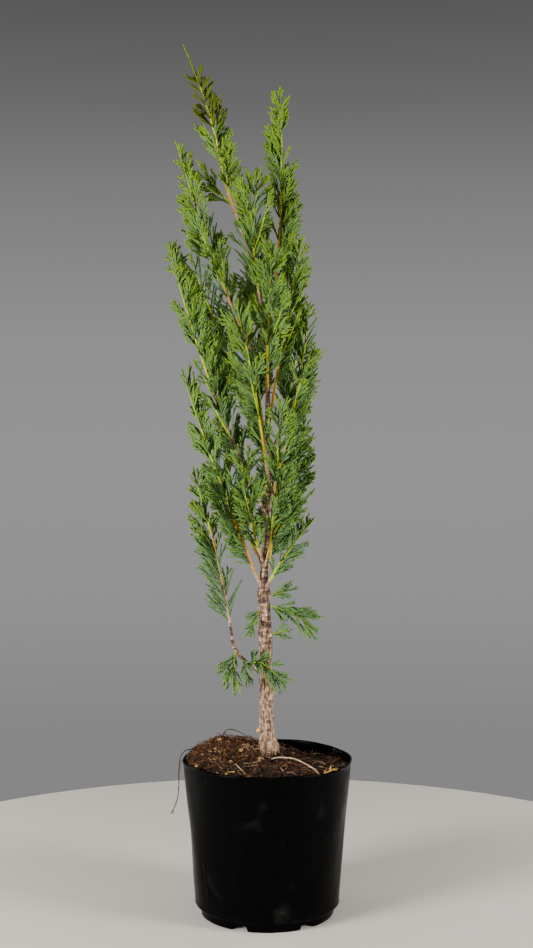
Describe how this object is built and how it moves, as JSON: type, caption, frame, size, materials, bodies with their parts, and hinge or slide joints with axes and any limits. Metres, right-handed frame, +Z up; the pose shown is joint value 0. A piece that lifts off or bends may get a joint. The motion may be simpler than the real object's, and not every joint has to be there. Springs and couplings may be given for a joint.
{
  "type": "potted columnar juniper",
  "caption": "Young columnar juniper: a slim upright evergreen with steep limbs of scale-leaved sprays, in a thin round nursery pot.",
  "frame": {"origin": "centre of the pot's flat underside, on the ground it stands on", "axes": "+Z up, along the tree's height; +X to the right and +Y to the back as seen from its front"},
  "size_m": [0.1817, 0.1644, 0.845],
  "materials": {
    "bark": "matte pinkish-brown bark with fine flakes and ring marks",
    "foliage": "soft satin green scale leaves, lighter yellow-green at the tips",
    "pot_plastic": "thin black moulded plastic with a soft sheen",
    "potting_mix": "dark damp bark crumbs and root fibres"
  },
  "bodies": {
    "root": {"bough_back_high": "bark", "bough_back_left": "bark", "bough_back_low": "bark", "bough_back_middle": "bark", "bough_back_right": "bark", "bough_front_high": "bark", "bough_front_left": "bark", "bough_front_middle": "bark", "bough_front_right": "bark", "bough_front_top": "bark", "bough_left_high": "bark", "bough_left_inner": "bark", "bough_left_low": "bark", "bough_left_outer": "bark", "bough_right_high": "bark", "bough_right_leader": "bark", "bough_right_low": "bark", "bough_right_middle": "bark", "bough_right_outer": "bark", "bough_stray": "bark", "bough_stray_arm": "bark", "foliage_back_high": "foliage", "foliage_back_left": "foliage", "foliage_back_low": "foliage", "foliage_back_middle": "foliage", "foliage_back_right": "foliage", "foliage_front_high": "foliage", "foliage_front_left": "foliage", "foliage_front_middle": "foliage", "foliage_front_right": "foliage", "foliage_front_top": "foliage", "foliage_leader_crest": "foliage", "foliage_leader_left": "foliage", "foliage_leader_right": "foliage", "foliage_leader_top": "foliage", "foliage_left_high": "foliage", "foliage_left_inner": "foliage", "foliage_left_low": "foliage", "foliage_left_outer": "foliage", "foliage_low_left": "foliage", "foliage_low_right": "foliage", "foliage_low_right_foot": "foliage", "foliage_low_right_top": "foliage", "foliage_right_high": "foliage", "foliage_right_leader": "foliage", "foliage_right_low": "foliage", "foliage_right_middle": "foliage", "foliage_right_outer": "foliage", "foliage_stray": "foliage", "foliage_stray_cross": "foliage", "foliage_stray_droop": "foliage", "foliage_stray_fall": "foliage", "pot": "pot_plastic", "potting_mix": "potting_mix", "trunk": "bark"}
  },
  "joints": []
}
